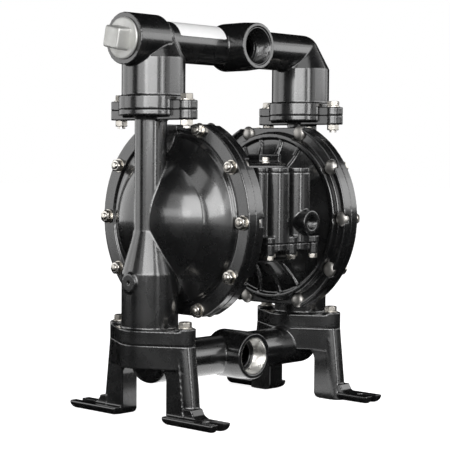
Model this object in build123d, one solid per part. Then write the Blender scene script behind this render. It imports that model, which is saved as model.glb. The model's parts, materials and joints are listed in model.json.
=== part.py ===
from build123d import *
import math
import os

# Air operated double diaphragm pump, bolted metal construction, 1-1/2 inch ports.
# Frame: origin on the floor under the middle of the pump, +Z up, X along the diaphragm
# rod, the two fluid ports face -Y. The two ends are mirror images about the YZ plane,
# apart from the outlet manifold, whose left end is open and plugged.
# All lengths are in millimetres, all angles in degrees.

# ---- whole pump ------------------------------------------------------------------
rod_height = 246.0            # diaphragm rod above the floor
manifold_x = 139.0            # middle of a manifold flange, from the middle of the pump
riser_offset = 4.0            # riser and inlet chamber, beyond the manifold flanges
outlet_rise = 135.8           # joint of fluid caps and outlet manifold, above the rod
inlet_drop = 150.1            # joint of fluid caps and inlet manifold, below the rod
outlet_pipe_rise = 84.7       # axis of the outlet pipe above its joint
inlet_pipe_drop = 27.4        # axis of the inlet pipe below its joint

# ---- cap flanges and their bolts ---------------------------------------------------
cap_radius = 129.5            # outside of the bolted cap flanges
cap_flat_depth = 11.0         # flats at top and bottom of the flanges
cap_parting_x = 91.5          # joint between fluid cap and air cap
cap_bolt_inset = 9.5          # bolt circle inside the flange edge
cap_bolt_angles = (0.0, 33.6, 67.6)   # from horizontal, repeated in the four quadrants
cap_bolt_radius = 4.75        # 3/8 inch carriage bolts
cap_bolt_clearance = 0.5
cap_bolt_head_radius = 9.8
cap_bolt_spot_gap = 0.4       # room round a bolt head in the air cap
cap_bolt_head_height = 5.4
cap_nut_flats = 14.3
cap_nut_height = 7.7
cap_bolt_stickout = 2.0       # bolt end beyond its nut

# ---- fluid cap ------------------------------------------------------------------
fluid_flange_thickness = 12.3
face_groove_inset = 18.5      # outer edge of the groove, inside the flange edge
face_groove_width = 5.0
face_groove_depth = 2.5
dome_edge_inset = 25.5        # where the dome leaves the flange, inside the flange edge
dome_edge_rise = 2.6          # height of that edge above the flange face
dome_crease_inset = 28.0      # shallow valley inside the edge of the dome
dome_crease_rise = 25.7
dome_band_bulge = 3.6         # how far the outer band bows out of its chord
dome_height = 54.7            # top of the bulge above the flange face
dome_wall = 7.0
riser_radius = 20.0
riser_bore = 14.0
riser_cone_top_drop = 12.6    # below the rod
riser_cone_bottom_drop = 64.5
chamber_radius = 35.2
chamber_bore = 27.5
chamber_bore_height = 74.1    # above the inlet joint
web_thickness = 10.0
boss_radius = 12.0            # blind boss on the chamber
boss_drop = 75.5              # below the rod
boss_reach = 1.5              # boss face beyond the chamber wall
boss_mark_radius = 1.6
passage_radius = 15.0         # from inlet chamber to pumping chamber
passage_drop = 86.0           # below the rod

# ---- manifold flanges and ears ------------------------------------------------------
rim_radius = 43.0
ear_bolt_y = 58.0             # flange bolt from the middle plane
ear_radius = 13.0
ear_bolt_radius = 4.75
ear_bolt_clearance = 0.4
ear_bolt_flats = 14.3
ear_bolt_head_height = 6.6
ear_nut_height = 7.7
outlet_rim_height = 16.5
outlet_ear_height = 11.0
cap_top_plate = 7.6           # plate under the outlet parting
cap_top_ear = 12.3
cap_bottom_plate = 17.6
cap_bottom_ear = 20.9
ear_thread_depth = 16.0       # inlet bolts in the leg columns

# ---- outlet manifold ----------------------------------------------------------------
outlet_pipe_radius = 25.0
outlet_pipe_bore = 18.5
ball_chamber_radius = 39.2
ball_chamber_bore = 31.0
ball_chamber_height = 63.2    # where the chamber starts to close to the pipe
ball_chamber_bore_height = 56.7
elbow_cone_angle = 28.5       # half angle of the cone from ball chamber to pipe
plug_boss_radius = 31.6
plug_boss_reach = 50.0        # boss face beyond the flange middle
plug_boss_taper = 12.0
tee_root_radius = 31.0
tee_face_radius = 29.4
tee_back = 18.0
outlet_port_reach = 48.0      # port face from the middle plane
inlet_port_reach = 45.5
port_bore = 23.2              # 1-1/2 inch pipe thread
port_depth = 24.0
port_chamfer = 1.6
port_step = 1.0               # passage behind a port, smaller than the pipe bore
plug_thread_length = 18.0
plug_rim_radius = 25.6
plug_rim_height = 3.0
plug_square = 27.0
plug_square_height = 18.0
plug_square_turn = 12.0

# ---- inlet manifold and feet ----------------------------------------------------------
inlet_pipe_radius = 25.0
inlet_pipe_bore = 18.5
inlet_cup_radius = 42.0
inlet_cup_depth = 29.6        # cup round the inlet seat, below its joint
portal_inner_offset = 12.0    # inner and outer faces of the leg walls, from the flange middle
portal_outer_offset = 14.0
portal_top_half_width = 58.0
portal_foot_half_width = 70.0
arch_half_width = 39.4
arch_top_depth = 29.6
arch_radius = 15.0
leg_column_radius = 12.0
leg_column_lean = 12.0        # outward lean of a leg column, top to foot
leg_corner_radius = 9.0       # rounded inner corner of a leg at the floor
pad_inner_offset = 8.4
pad_outer_offset = 24.8
pad_reach = 127.2             # end of a foot from the middle plane
pad_start = 42.0
pad_thickness = 10.0
pad_fillet = 11.0
slot_inner_offset = 3.0
slot_outer_offset = 13.9
slot_length = 22.0

# ---- ball checks ------------------------------------------------------------------------
ball_radius = 23.0
ball_lift = 10.0
ball_seat_gap = 0.3
seat_radius = 35.0
seat_clearance = 0.2
seat_height = 10.0
seat_bore = 15.0
seat_cone_height = 6.0
guide_rib_width = 5.0
guide_clearance = 0.8
stop_height = 1.2             # free space over a fully lifted ball
stop_thickness = 7.0
ring_section = 3.2            # seat O-rings
ring_groove_gap = 0.05

# ---- diaphragms and rod --------------------------------------------------------------------
diaphragm_thickness = 3.5
bead_inset = 23.5             # middle of the bead, inside the flange edge
diaphragm_bead_section = 6.4
recess_inset = 18.5           # recess for the diaphragm, inside the flange edge
diaphragm_clamp_radius = 64.0
free_inset = 29.5             # outer end of the free ring, inside the flange edge
diaphragm_roll_height = 9.0   # bow of the free ring between clamp and bead
diaphragm_gap = 0.15
inner_washer_radius = 60.0
inner_washer_thickness = 5.0
outer_washer_radius = 62.0
outer_washer_edge = 3.5
outer_washer_height = 11.0
rod_radius = 10.0
rod_thread_length = 6.0       # rod end inside an outer washer
rod_stroke = 14.0             # each way from the middle
rod_running_gap = 0.05
bushing_wall = 3.0
bushing_length = 22.0
rod_seal_section = 4.0

# ---- air caps ------------------------------------------------------------------------------
air_lip_rise = 14.0           # outer lip above the parting, towards the middle of the pump
air_lip_width = 3.5
air_groove_rise = 6.1         # floor of the groove that holds the bolt heads
air_groove_inset = 18.0
air_ring_rise = 14.9
air_ring_inset = 25.5
air_step_inset = 28.0
air_step_rise = 11.5
air_shoulder_radius = 58.0
air_hub_x = 53.0              # hub face against the centre body gasket
air_wall = 7.0
air_floor_x = 65.0            # floor of the air chamber
air_rib_thickness = 5.0
air_rib_angles = (62.0, 80.0, 100.0, 118.0, 242.0, 260.0, 280.0, 298.0)
air_rib_rise = 6.0

# ---- centre section ---------------------------------------------------------------------------
gasket_thickness = 1.0
hub_radius = 54.0
center_block_front = 62.0
center_block_back = 46.0
center_block_half_width = 44.0
center_block_drop = 56.0      # below and above the rod
center_block_rise = 72.0
center_rib_thickness = 6.0
center_rib_rise = 83.0
housing_half_width = 50.0
housing_front = 98.0
housing_drop = 29.0
housing_rise = 60.0
barrel_radius = 17.0          # two upright barrels on the front of the valve housing
barrel_x = 20.0
barrel_y = 97.0
valve_bore = 10.0
valve_running_gap = 0.05
spool_length = 64.0
spool_travel = 12.0
spool_waist = 6.0
spool_land = 10.0
top_cover_thickness = 6.0
bottom_cover_thickness = 8.6
cover_bolt_x = (-42.0, 0.0, 42.0)
cover_bolt_y = (73.0, 106.0)
cover_bolt_radius = 3.0
cover_bolt_flats = 10.0
cover_bolt_head_height = 6.0
cover_bolt_stand = 5.0        # head below the cover, on its boss
cover_lobe_radius = 8.0
air_port_radius = 15.2
air_port_bore = 9.2           # 1/2 inch pipe thread
air_port_reach = 123.0
air_port_depth = 14.0
air_port_passage = 6.0        # radius, from the port into its barrel
air_port_drop = 2.5           # below the rod
air_inset = 8.0
pilot_radius = 4.0
pilot_y = 27.0
pilot_half_length = 73.5
pilot_travel = 3.5
muffler_radius = 21.0
muffler_length = 52.0
muffler_neck_radius = 13.0
muffler_neck_length = 14.0
exhaust_boss_radius = 22.0
exhaust_boss_reach = 56.0
hub_bolt_circle = 43.0
hub_bolt_radius = 4.0
hub_bolt_flats = 13.0
hub_bolt_head_height = 5.0
hub_bolt_length = 14.0
hub_bolt_angles = (45.0, 135.0, 225.0, 315.0)

# ---- places worked out from the sizes above --------------------------------------------------
outlet_parting_z = rod_height + outlet_rise
inlet_parting_z = rod_height - inlet_drop
outlet_pipe_z = outlet_parting_z + outlet_pipe_rise
inlet_pipe_z = inlet_parting_z - inlet_pipe_drop
riser_x = manifold_x + riser_offset
riser_cone_top_z = rod_height - riser_cone_top_drop
riser_cone_bottom_z = rod_height - riser_cone_bottom_drop
chamber_bore_top_z = inlet_parting_z + chamber_bore_height
boss_z = rod_height - boss_drop
passage_z = rod_height - passage_drop
ball_chamber_top_z = outlet_parting_z + ball_chamber_height
ball_chamber_bore_top_z = outlet_parting_z + ball_chamber_bore_height
inlet_cup_bottom_z = inlet_parting_z - inlet_cup_depth
arch_top_z = inlet_parting_z - arch_top_depth
portal_inner_x = manifold_x - portal_inner_offset
portal_outer_x = manifold_x + portal_outer_offset
pad_inner_x = manifold_x - pad_inner_offset
pad_outer_x = manifold_x + pad_outer_offset
slot_inner_x = manifold_x + slot_inner_offset
slot_outer_x = manifold_x + slot_outer_offset
center_block_bottom_z = rod_height - center_block_drop
center_block_top_z = rod_height + center_block_rise
center_rib_top_z = rod_height + center_rib_rise
housing_bottom_z = rod_height - housing_drop
housing_top_z = rod_height + housing_rise
air_port_z = rod_height - air_port_drop
cap_flat_height = cap_radius - cap_flat_depth
cap_bolt_circle = cap_radius - cap_bolt_inset
face_groove_outer_radius = cap_radius - face_groove_inset
face_groove_inner_radius = face_groove_outer_radius - face_groove_width
dome_edge_radius = cap_radius - dome_edge_inset
dome_crease_radius = dome_edge_radius - dome_crease_inset
diaphragm_bead_radius = cap_radius - bead_inset
diaphragm_recess_radius = cap_radius - recess_inset
diaphragm_free_radius = cap_radius - free_inset
air_groove_inner_radius = cap_radius - air_groove_inset
air_ring_inner_radius = cap_radius - air_ring_inset
air_step_radius = cap_radius - air_step_inset
fluid_face_x = cap_parting_x + fluid_flange_thickness
dome_apex_x = fluid_face_x + dome_height
air_groove_x = cap_parting_x - air_groove_rise
hub_gasket_x = air_hub_x - gasket_thickness
cap_nut_end_x = fluid_face_x + cap_nut_height
outlet_ear_top_z = outlet_parting_z + outlet_ear_height
cap_top_ear_z = outlet_parting_z - cap_top_ear
cap_bottom_ear_z = inlet_parting_z + cap_bottom_ear
diaphragm_half = diaphragm_thickness / 2
inner_washer_x = cap_parting_x - diaphragm_half - inner_washer_thickness
outer_washer_x = cap_parting_x + diaphragm_half
rod_end_x = outer_washer_x + rod_thread_length
housing_back = center_block_front + gasket_thickness
bottom_cover_z = housing_bottom_z - bottom_cover_thickness
floor_to_ends = (Align.CENTER, Align.CENTER, Align.MIN)
UP = Vector(0, 0, 1)
OUT = Vector(1, 0, 0)
FROM_END = Vector(-1, 0, 0)


# ---- small builders ------------------------------------------------------------------------------
def rod_between(start, end, radius, end_radius=None):
    """Round bar or cone from one point to another."""
    start, end = Vector(start), Vector(end)
    plane = Plane(origin=start, z_dir=end - start)
    length = (end - start).length
    if end_radius is None:
        return plane * Cylinder(radius, length, align=floor_to_ends)
    return plane * Cone(radius, end_radius, length, align=floor_to_ends)


def block(x0, x1, y0, y1, z0, z1):
    """Box between two corners."""
    return Pos((x0 + x1) / 2, (y0 + y1) / 2, (z0 + z1) / 2) * Box(x1 - x0, y1 - y0, z1 - z0)


def hex_bar(start, end, flats):
    """Hexagonal bar of a given width across flats."""
    start, end = Vector(start), Vector(end)
    plane = Plane(origin=start, z_dir=end - start)
    return extrude(plane * RegularPolygon(flats / 2, 6, major_radius=False), (end - start).length)


def turned(*edges):
    """Solid of revolution about the rod axis, from a closed outline of (x, radius) edges."""
    face = make_face(Curve() + list(edges))
    return Pos(0, 0, rod_height) * revolve(face, axis=Axis.X)


def turned_outline(points):
    """Solid of revolution about the rod axis, from the corners (x, radius) of its outline."""
    return turned(Polyline(*points, close=True))


def upright(x, outline_points):
    """Solid of revolution about an upright axis, from corners (radius, z)."""
    face = make_face(Plane.XZ * Polyline(*outline_points, close=True))
    return Pos(x, 0, 0) * revolve(face, axis=Axis.Z)


def on_circle(radius, angle, x):
    """Point at an angle from horizontal round the rod axis."""
    turn = math.radians(angle)
    return Vector(x, -radius * math.cos(turn), rod_height + radius * math.sin(turn))


def cap_bolt_points(x):
    """The ten bolt places of one end."""
    angles = set()
    for angle in cap_bolt_angles:
        angles.update((angle, -angle % 360, 180 - angle, (180 + angle) % 360))
    return [on_circle(cap_bolt_circle, angle, x) for angle in sorted(angles)]


def ear_points(z):
    """The two flange bolt places of the right end."""
    return [Vector(manifold_x, y, z) for y in (-ear_bolt_y, ear_bolt_y)]


def eared_plate(z0, z1, ear_z0, ear_z1):
    """Round rim with two rounded ears for the flange bolts, at the right end."""
    rim = rod_between((manifold_x, 0, z0), (manifold_x, 0, z1), rim_radius)
    arm = block(manifold_x - ear_radius, manifold_x + ear_radius, -ear_bolt_y, ear_bolt_y,
                ear_z0, ear_z1)
    ears = [rod_between((manifold_x, y, ear_z0), (manifold_x, y, ear_z1), ear_radius)
            for y in (-ear_bolt_y, ear_bolt_y)]
    return rim + arm + ears


def kite_plate(z0, z1, radius):
    """Round cup faired to the two ears by tangent faces, at the right end."""
    cup = rod_between((manifold_x, 0, z0), (manifold_x, 0, z1), radius)
    lean = math.asin((radius - ear_radius) / ear_bolt_y)
    cup_x, cup_y = radius * math.cos(lean), radius * math.sin(lean)
    ear_x, ear_y = ear_radius * math.cos(lean), ear_bolt_y + ear_radius * math.sin(lean)
    corners = [(ear_x, ear_y), (cup_x, cup_y), (cup_x, -cup_y), (ear_x, -ear_y),
               (-ear_x, -ear_y), (-cup_x, -cup_y), (-cup_x, cup_y), (-ear_x, ear_y)]
    outline = Polyline(*[(manifold_x + x, y) for x, y in corners], close=True)
    fairing = extrude(Plane(origin=(0, 0, z0)) * make_face(outline), z1 - z0)
    ears = [rod_between((manifold_x, y, z0), (manifold_x, y, z1), ear_radius)
            for y in (-ear_bolt_y, ear_bolt_y)]
    return cup + fairing + ears


def flat_sided(disc_part, x0, x1):
    """Trim a cap flange to the flats at its top and bottom."""
    return disc_part & block(x0, x1, -cap_radius, cap_radius,
                             rod_height - cap_flat_height, rod_height + cap_flat_height)


def bolt_holes(points, direction, length, radius):
    """Round holes from a list of points."""
    return [rod_between(p, p + direction * length, radius) for p in points]


def left_of(part_right):
    """The mirror image at the left end."""
    return mirror(part_right, Plane.YZ)


def save(name, part):
    """Write one node."""
    solids = part.solids() if hasattr(part, "solids") else [s for p in part for s in p.solids()]
    piece = solids[0] if len(solids) == 1 else Compound(children=list(solids))
    piece.label = name
    export_step(piece, f"parts/{name}.step")


# ---- fluid cap -------------------------------------------------------------------------------------
def arc_bowed(start, end, bow):
    """Arc between two (x, radius) points that bows out by a given amount."""
    start, end = Vector(start), Vector(end)
    chord = (end - start).normalized()
    middle = (start + end) / 2 + Vector(-chord.Y, chord.X) * bow
    return ThreePointArc(start, middle, end)


def bulge_arc(edge_x, edge_radius, apex_x):
    """Part of a sphere about the rod axis, from its edge to its apex."""
    rise = apex_x - edge_x
    sphere = (edge_radius ** 2 + rise ** 2) / (2 * rise)
    half_turn = math.asin(edge_radius / sphere) / 2
    middle = (apex_x - sphere * (1 - math.cos(half_turn)), sphere * math.sin(half_turn))
    return ThreePointArc((edge_x, edge_radius), middle, (apex_x, 0))


def fluid_cap_shell():
    """Domed cover with its bolting flange and hollow pumping chamber."""
    groove_x = fluid_face_x - face_groove_depth
    edge = (fluid_face_x + dome_edge_rise, dome_edge_radius)
    crease = (fluid_face_x + dome_crease_rise, dome_crease_radius)
    rim = Polyline((cap_parting_x, 0), (cap_parting_x, cap_radius), (fluid_face_x, cap_radius),
                   (fluid_face_x, face_groove_outer_radius),
                   (groove_x, face_groove_outer_radius - 1),
                   (groove_x, face_groove_inner_radius + 1), edge)
    band = arc_bowed(edge, crease, -dome_band_bulge)
    bulge = bulge_arc(crease[0], crease[1], dome_apex_x)
    axis = Line((dome_apex_x, 0), (cap_parting_x, 0))
    shell = turned(*rim.edges(), band, bulge, axis)
    disc = flat_sided(shell, cap_parting_x, fluid_face_x)
    dome = shell & block(groove_x, dome_apex_x + 1, -cap_radius, cap_radius,
                         rod_height - face_groove_inner_radius - 1,
                         rod_height + face_groove_inner_radius + 1)
    return disc + dome


def fluid_cap_cavity():
    """The pumping chamber inside the dome."""
    mouth = diaphragm_free_radius + 1
    inner_crease = (fluid_face_x + dome_crease_rise - dome_wall, dome_crease_radius - 4)
    mouth_line = Polyline((cap_parting_x - 1, 0), (cap_parting_x - 1, mouth),
                          (fluid_face_x - 4, mouth - 2), inner_crease)
    bulge = bulge_arc(inner_crease[0], inner_crease[1], dome_apex_x - dome_wall)
    axis = Line((dome_apex_x - dome_wall, 0), (cap_parting_x - 1, 0))
    return turned(*mouth_line.edges(), bulge, axis)


def diaphragm_seat(sign):
    """Recess and bead groove at the parting; sign +1 on the fluid side, -1 on the air side."""
    depth = diaphragm_half + diaphragm_gap
    recess = rod_between((cap_parting_x - sign, 0, rod_height),
                         (cap_parting_x + sign * depth, 0, rod_height), diaphragm_recess_radius)
    bead = Pos(cap_parting_x, 0, rod_height) * Rot(0, 90, 0) * Torus(
        diaphragm_bead_radius, diaphragm_bead_section / 2 + diaphragm_gap)
    return recess + bead


def guide_ribs(x, z0, z1, bore):
    """Four ribs that keep a check ball in line in its chamber."""
    free = ball_radius + guide_clearance
    cross = (block(x - bore, x + bore, -guide_rib_width / 2, guide_rib_width / 2, z0, z1)
             + block(x - guide_rib_width / 2, x + guide_rib_width / 2, -bore, bore, z0, z1))
    ring = rod_between((x, 0, z0), (x, 0, z1), bore + 0.5)
    return (cross & ring) - rod_between((x, 0, z0 - 1), (x, 0, z1 + 1), free)


def fluid_cap():
    """Fluid cap of the right end: dome, riser, inlet chamber and both eared flanges."""
    tube = rod_between((riser_x, 0, riser_cone_top_z), (riser_x, 0, cap_top_ear_z + 1), riser_radius)
    neck = rod_between((riser_x, 0, cap_top_ear_z), (riser_x, 0, outlet_parting_z - 1),
                       riser_radius, riser_radius + 3)
    cone = rod_between((riser_x, 0, riser_cone_bottom_z), (riser_x, 0, riser_cone_top_z),
                       chamber_radius, riser_radius)
    chamber = rod_between((riser_x, 0, inlet_parting_z), (riser_x, 0, riser_cone_bottom_z),
                          chamber_radius)
    web_top = rod_height + cap_flat_height
    upper_web = block(cap_parting_x + 2, riser_x, -web_thickness / 2, web_thickness / 2,
                      rod_height, web_top)
    lower_web = block(cap_parting_x + 2, riser_x, -web_thickness / 2, web_thickness / 2,
                      rod_height - cap_flat_height, rod_height)
    boss = rod_between((riser_x, 0, boss_z), (riser_x + chamber_radius + boss_reach, 0, boss_z),
                       boss_radius)
    body = fluid_cap_shell() + tube + neck + cone + chamber + upper_web + lower_web + boss
    body += eared_plate(outlet_parting_z - cap_top_plate, outlet_parting_z,
                        cap_top_ear_z, outlet_parting_z)
    body += kite_plate(inlet_parting_z, inlet_parting_z + cap_bottom_plate, rim_radius)
    body += [rod_between(p, Vector(p.X, p.Y, cap_bottom_ear_z), ear_radius)
             for p in ear_points(inlet_parting_z)]
    body -= fluid_cap_cavity()
    body -= diaphragm_seat(1)
    body -= rod_between((riser_x, 0, rod_height), (riser_x, 0, outlet_parting_z + 1), riser_bore)
    body -= rod_between((manifold_x, 0, outlet_parting_z - cap_top_plate / 2),
                        (manifold_x, 0, outlet_parting_z + 1), seat_bore)
    body -= rod_between((riser_x - 10, 0, rod_height + riser_bore), (riser_x, 0, rod_height + riser_bore),
                        riser_bore)
    body -= ball_room(inlet_parting_z, chamber_bore_top_z, chamber_bore)
    body -= rod_between((fluid_face_x - 2, 0, passage_z), (manifold_x, 0, passage_z), passage_radius)
    body += guide_ribs(manifold_x, inlet_parting_z, inlet_ball_z + ball_lift, chamber_bore)
    body += ball_stop()
    body -= bolt_holes(cap_bolt_points(cap_parting_x - 1), OUT, fluid_flange_thickness + 2,
                       cap_bolt_radius + cap_bolt_clearance)
    body -= bolt_holes(ear_points(cap_top_ear_z - 1), UP, cap_top_ear + 2,
                       ear_bolt_radius + ear_bolt_clearance)
    body -= bolt_holes(ear_points(inlet_parting_z - 1), UP, cap_bottom_ear + 2,
                       ear_bolt_radius + ear_bolt_clearance)
    mark_x = riser_x + chamber_radius + boss_reach
    body -= rod_between((mark_x - 4, 0, boss_z), (mark_x + 1, 0, boss_z), boss_mark_radius)
    return body


def ball_room(z0, z1, bore):
    """Round room for a check ball over the flange middle."""
    return rod_between((manifold_x, 0, z0 - 1), (manifold_x, 0, z1), bore)


def ball_stop():
    """Bar across the inlet chamber that limits the lift of the inlet ball."""
    z0 = inlet_ball_z + ball_lift + ball_radius + stop_height
    bar_across = block(manifold_x - chamber_bore, manifold_x + chamber_bore,
                       -guide_rib_width / 2, guide_rib_width / 2, z0, z0 + stop_thickness)
    return bar_across & rod_between((manifold_x, 0, z0), (manifold_x, 0, z0 + stop_thickness),
                                    chamber_bore + 0.5)


# ---- air cap ------------------------------------------------------------------------------------------
def air_cap():
    """Air side cover of the right end, bolted to the centre body at its hub."""
    lip_x = cap_parting_x - air_lip_rise
    ring_x = cap_parting_x - air_ring_rise
    step_x = cap_parting_x - air_step_rise
    shoulder_x = air_hub_x + 3
    outline = [(cap_parting_x, 0), (cap_parting_x, cap_radius), (lip_x, cap_radius),
               (lip_x, cap_radius - air_lip_width), (air_groove_x, cap_radius - air_lip_width - 0.6),
               (air_groove_x, air_groove_inner_radius + 0.6), (ring_x + 1, air_groove_inner_radius),
               (ring_x, air_groove_inner_radius - 1.2), (ring_x, air_ring_inner_radius + 1),
               (step_x, air_ring_inner_radius), (step_x, air_step_radius)]
    edges = Polyline(*outline).edges()
    dish = arc_bowed((step_x, air_step_radius), (shoulder_x, air_shoulder_radius), 4.0)
    hub = Polyline((shoulder_x, air_shoulder_radius), (air_hub_x, hub_radius), (air_hub_x, 0),
                   (cap_parting_x, 0)).edges()
    body = turned(*edges, dish, *hub)
    body = flat_sided(body, air_hub_x, cap_parting_x)
    for angle in air_rib_angles:
        body += air_rib(angle, ring_x, shoulder_x)
    cavity = turned_outline([(cap_parting_x + 1, 0), (cap_parting_x + 1, air_step_radius - 1),
                             (cap_parting_x - 1, air_step_radius - 2),
                             (air_floor_x, air_shoulder_radius + air_wall), (air_floor_x, 0)])
    body -= cavity
    body -= diaphragm_seat(-1)
    body -= rod_between((air_hub_x - 1, 0, rod_height), (air_floor_x + 1, 0, rod_height),
                        rod_radius + bushing_wall)
    body -= rod_between((air_hub_x - 1, pilot_y, rod_height), (air_floor_x + 1, pilot_y, rod_height),
                        pilot_radius + 1.5)
    body -= bolt_holes(cap_bolt_points(air_groove_x - 2), OUT, air_groove_rise + 4,
                       cap_bolt_radius + cap_bolt_clearance)
    body -= bolt_holes(cap_bolt_points(air_groove_x), FROM_END, air_lip_rise,
                       cap_bolt_head_radius + cap_bolt_spot_gap)
    body -= bolt_holes(hub_bolt_points(air_hub_x - 1), OUT, air_floor_x - air_hub_x + 2,
                       hub_bolt_radius + cap_bolt_clearance)
    return body


def air_rib(angle, ring_x, shoulder_x):
    """Radial stiffening rib on the dish, from the hub shoulder to the raised ring."""
    outline = Polyline((shoulder_x + 6, air_shoulder_radius - 12), (shoulder_x, air_shoulder_radius - 6),
                       (ring_x - air_rib_rise / 4, air_ring_inner_radius - 12),
                       (ring_x + 1, air_ring_inner_radius + 2),
                       (ring_x + 8, air_ring_inner_radius), close=True)
    plate = extrude(make_face(outline), air_rib_thickness / 2, both=True)
    return Pos(0, 0, rod_height) * Rot(180 - angle, 0, 0) * plate


def hub_bolt_points(x):
    """Places of the bolts that hold an air cap to the centre body."""
    return [on_circle(hub_bolt_circle, angle, x) for angle in hub_bolt_angles]


def hub_bolts():
    """Four bolts through the air cap hub, heads inside the air chamber."""
    bolts = []
    for point in hub_bolt_points(air_floor_x):
        head = hex_bar(point, point + OUT * hub_bolt_head_height, hub_bolt_flats)
        shank = rod_between(point - OUT * (air_floor_x - hub_gasket_x + hub_bolt_length), point,
                            hub_bolt_radius)
        bolts.append(head + shank)
    return bolts


def hub_gasket():
    """Gasket between an air cap hub and the centre body."""
    ring = rod_between((hub_gasket_x, 0, rod_height), (air_hub_x, 0, rod_height), hub_radius)
    ring -= rod_between((hub_gasket_x - 1, 0, rod_height), (air_hub_x + 1, 0, rod_height),
                        rod_radius + bushing_wall + 2)
    ring -= rod_between((hub_gasket_x - 1, pilot_y, rod_height), (air_hub_x + 1, pilot_y, rod_height),
                        pilot_radius + 2)
    ring -= bolt_holes(hub_bolt_points(hub_gasket_x - 1), OUT, gasket_thickness + 2,
                       hub_bolt_radius + cap_bolt_clearance)
    return ring


# ---- diaphragm assembly -----------------------------------------------------------------------------------
def diaphragm():
    """Moulded diaphragm: bored middle, rolled free ring and a round clamping bead."""
    free_end = diaphragm_free_radius
    x0, x1 = cap_parting_x - diaphragm_half, cap_parting_x + diaphragm_half
    roll = diaphragm_roll_height
    edges = [Line((x0, rod_radius), (x0, diaphragm_clamp_radius)),
             arc_bowed((x0, diaphragm_clamp_radius), (x0, free_end), -roll),
             Line((x0, free_end), (x0, diaphragm_bead_radius)),
             Line((x0, diaphragm_bead_radius), (x1, diaphragm_bead_radius)),
             Line((x1, diaphragm_bead_radius), (x1, free_end)),
             arc_bowed((x1, free_end), (x1, diaphragm_clamp_radius), roll),
             Line((x1, diaphragm_clamp_radius), (x1, rod_radius)),
             Line((x1, rod_radius), (x0, rod_radius))]
    bead = Pos(cap_parting_x, 0, rod_height) * Rot(0, 90, 0) * Torus(
        diaphragm_bead_radius, diaphragm_bead_section / 2)
    return turned(*edges) + bead


def inner_washer():
    """Plate on the air side of a diaphragm."""
    x1 = inner_washer_x + inner_washer_thickness
    return turned_outline([(inner_washer_x, rod_radius), (inner_washer_x, inner_washer_radius - 3),
                           (inner_washer_x + 3, inner_washer_radius), (x1, inner_washer_radius),
                           (x1, rod_radius)])


def outer_washer():
    """Domed plate on the fluid side of a diaphragm, screwed on the rod end."""
    edge_x = outer_washer_x + outer_washer_edge
    apex_x = outer_washer_x + outer_washer_height
    edges = [Line((outer_washer_x, rod_radius), (outer_washer_x, outer_washer_radius)),
             Line((outer_washer_x, outer_washer_radius), (edge_x, outer_washer_radius)),
             bulge_arc(edge_x, outer_washer_radius, apex_x),
             Line((apex_x, 0), (rod_end_x, 0)),
             Line((rod_end_x, 0), (rod_end_x, rod_radius)),
             Line((rod_end_x, rod_radius), (outer_washer_x, rod_radius))]
    return turned(*edges)


def diaphragm_rod():
    """Rod that joins the two diaphragms."""
    return rod_between((-rod_end_x, 0, rod_height), (rod_end_x, 0, rod_height), rod_radius)


def rod_bushing():
    """Plain bush in the centre body hub."""
    x0 = air_hub_x - bushing_length / 2
    x1 = air_hub_x + bushing_length / 2
    tube = rod_between((x0, 0, rod_height), (x1, 0, rod_height), rod_radius + bushing_wall)
    return tube - rod_between((x0 - 1, 0, rod_height), (x1 + 1, 0, rod_height),
                              rod_radius + rod_running_gap)


def rod_seal():
    """Square section ring behind a bush."""
    x1 = air_hub_x - bushing_length / 2
    x0 = x1 - rod_seal_section
    ring = rod_between((x0, 0, rod_height), (x1, 0, rod_height), rod_radius + bushing_wall)
    return ring - rod_between((x0 - 1, 0, rod_height), (x1 + 1, 0, rod_height),
                              rod_radius + rod_running_gap)


# ---- centre section -----------------------------------------------------------------------------------------
def center_body():
    """Casting between the air caps: hub, block, ribs, rod bore and exhaust boss."""
    hub = rod_between((-hub_gasket_x, 0, rod_height), (hub_gasket_x, 0, rod_height), hub_radius)
    core = block(-center_block_half_width, center_block_half_width, -center_block_front,
                 center_block_back, center_block_bottom_z, center_block_top_z)
    core = fillet(core.edges().filter_by(Axis.X), air_inset)
    ribs = []
    for x in (-center_block_half_width + air_inset, 0.0, center_block_half_width - air_inset):
        ribs.append(block(x - center_rib_thickness / 2, x + center_rib_thickness / 2,
                          -center_block_front + air_inset, center_block_back - air_inset,
                          center_block_bottom_z + air_inset, center_rib_top_z))
    boss = rod_between((0, 0, rod_height), (0, exhaust_boss_reach, rod_height), exhaust_boss_radius)
    body = hub + core + ribs + boss
    body -= rod_between((-hub_gasket_x - 1, 0, rod_height), (hub_gasket_x + 1, 0, rod_height),
                        rod_radius + 1.0)
    pocket = bushing_length / 2 + rod_seal_section
    for sign in (-1, 1):
        start = (sign * (air_hub_x - pocket), 0, rod_height)
        body -= rod_between(start, (sign * (hub_gasket_x + 1), 0, rod_height),
                            rod_radius + bushing_wall)
        body -= bolt_holes([Vector(sign * p.X, p.Y, p.Z) for p in
                            hub_bolt_points(hub_gasket_x - hub_bolt_length - 1)],
                           OUT * sign, hub_bolt_length + 2, hub_bolt_radius)
    body -= rod_between((-hub_gasket_x - 1, pilot_y, rod_height), (hub_gasket_x + 1, pilot_y, rod_height),
                        pilot_radius + valve_running_gap)
    body -= rod_between((0, exhaust_boss_reach - muffler_neck_length, rod_height),
                        (0, exhaust_boss_reach + 1, rod_height), muffler_neck_radius)
    return body


def front_gasket():
    """Gasket between centre body and valve housing."""
    inset = air_inset + 2
    return block(-center_block_half_width + 2, center_block_half_width - 2, -housing_back,
                 -center_block_front, housing_bottom_z + inset, housing_top_z - inset)


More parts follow.
